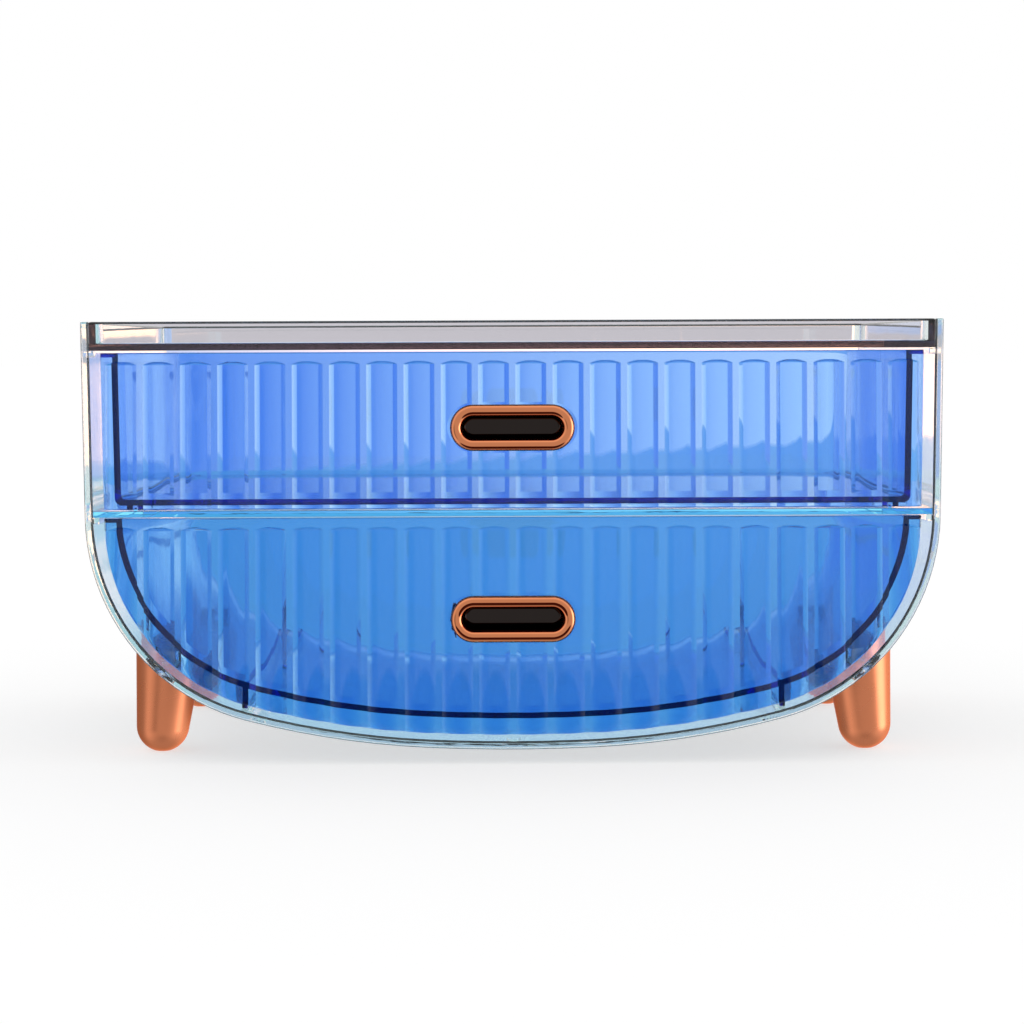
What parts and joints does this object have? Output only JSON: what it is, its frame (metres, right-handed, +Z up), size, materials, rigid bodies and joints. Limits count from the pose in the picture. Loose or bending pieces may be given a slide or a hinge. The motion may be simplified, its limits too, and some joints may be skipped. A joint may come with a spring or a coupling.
{
  "type": "cosmetic organizer box",
  "caption": "Clear organizer box with a bowl-shaped bottom on peg legs, a shallow open top tray, and blue drawers with fluted fronts and oval finger-cup handles.",
  "frame": {"origin": "on the ground, under the middle of the whole box", "axes": "+Z up; the drawers open towards -Y; +X is to the right seen from the front"},
  "size_m": [0.2702, 0.17, 0.1388],
  "materials": {
    "clear_plastic": "polished clear plastic",
    "blue_plastic": "glossy translucent blue plastic",
    "rose_gold_chrome": "polished rose gold plating",
    "rose_gold_satin": "satin rose gold plating",
    "screw_steel": "zinc plating"
  },
  "bodies": {
    "housing": {"housing_shell": "clear_plastic", "rear_panel": "clear_plastic", "shelf": "clear_plastic", "top_tray": "clear_plastic", "leg_front_left": "rose_gold_satin", "leg_front_right": "rose_gold_satin", "leg_rear_left": "rose_gold_satin", "leg_rear_right": "rose_gold_satin", "leg_screws": "screw_steel", "leg_washers": "screw_steel"},
    "upper_drawer": {"upper_drawer_front": "blue_plastic", "upper_drawer_tray": "blue_plastic", "upper_handle_bezel": "rose_gold_chrome", "upper_handle_cup": "rose_gold_chrome"},
    "lower_drawer": {"lower_drawer_front": "blue_plastic", "lower_drawer_tray": "blue_plastic", "lower_handle_bezel": "rose_gold_chrome", "lower_handle_cup": "rose_gold_chrome"}
  },
  "joints": [
    {"name": "upper_drawer_slide", "type": "slide", "parent": "housing", "child": "upper_drawer", "axis": [0, -1, 0], "range_m": [0, 0.12]},
    {"name": "lower_drawer_slide", "type": "slide", "parent": "housing", "child": "lower_drawer", "axis": [0, -1, 0], "range_m": [0, 0.12]}
  ]
}
